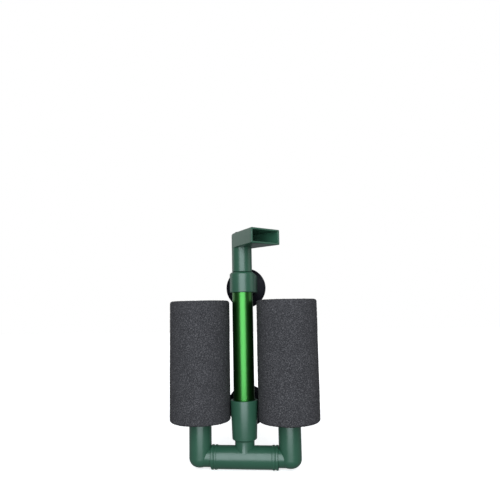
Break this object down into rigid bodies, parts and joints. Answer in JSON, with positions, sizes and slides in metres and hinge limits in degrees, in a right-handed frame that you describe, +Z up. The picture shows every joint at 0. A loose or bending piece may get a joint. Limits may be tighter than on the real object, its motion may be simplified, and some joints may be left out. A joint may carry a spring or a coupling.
{
  "type": "twin sponge filter",
  "caption": "Air-driven twin sponge filter: clear green riser tube on a tee, foam cylinders on turned-up elbows, swivelling flat-mouthed spout, rubber suction cups for the glass.",
  "frame": {"origin": "centre of the lower suction cup, on the glass that it holds to", "axes": "+Y points into the glass, so the front faces -Y; +Z points up the riser tube; +X is to the right seen from the front"},
  "size_m": [0.1314, 0.0637, 0.2063],
  "materials": {
    "green_plastic": "satin",
    "clear_green_plastic": "gloss",
    "dark_grey_plastic": "matte",
    "charcoal_foam": "matte",
    "black_rubber": "satin",
    "air_stone_grit": "matte"
  },
  "bodies": {
    "riser": {"uplift_tube": "clear_green_plastic", "base_tee": "green_plastic", "lower_suction_cup": "black_rubber", "stone_seat": "green_plastic", "air_stone": "air_stone_grit", "air_stone_nipple": "green_plastic"},
    "spout": {"outlet_spout": "green_plastic", "airline_grommet": "black_rubber"},
    "clip": {"cup_clip": "green_plastic"},
    "upper_cup": {"upper_suction_cup": "black_rubber"},
    "left_arm": {"left_elbow": "green_plastic", "left_strainer": "dark_grey_plastic", "left_strainer_cap": "dark_grey_plastic"},
    "right_arm": {"right_elbow": "green_plastic", "right_strainer": "dark_grey_plastic", "right_strainer_cap": "dark_grey_plastic"},
    "left_foam": {"left_sponge": "charcoal_foam"},
    "right_foam": {"right_sponge": "charcoal_foam"}
  },
  "joints": [
    {"name": "spout_swivel", "type": "hinge", "parent": "riser", "child": "spout", "pos_m": [0, -0.028, 0.1213], "axis": [0, 0, 1], "continuous": true},
    {"name": "clip_slide", "type": "slide", "parent": "riser", "child": "clip", "axis": [0, 0, 1], "range_m": [-0.07, 0]},
    {"name": "upper_cup_turn", "type": "hinge", "parent": "clip", "child": "upper_cup", "pos_m": [0, -0.0075, 0.1085], "axis": [0, 1, 0], "continuous": true},
    {"name": "left_arm_tilt", "type": "hinge", "parent": "riser", "child": "left_arm", "pos_m": [-0.039, -0.028, -0.03825], "axis": [1, 0, 0], "range_deg": [0, 90]},
    {"name": "left_sponge_lift", "type": "slide", "parent": "left_arm", "child": "left_foam", "axis": [0, 0, 1], "range_m": [0, 0.045]},
    {"name": "right_arm_tilt", "type": "hinge", "parent": "riser", "child": "right_arm", "pos_m": [0.039, -0.028, -0.03825], "axis": [1, 0, 0], "range_deg": [0, 90]},
    {"name": "right_sponge_lift", "type": "slide", "parent": "right_arm", "child": "right_foam", "axis": [0, 0, 1], "range_m": [0, 0.045]}
  ]
}
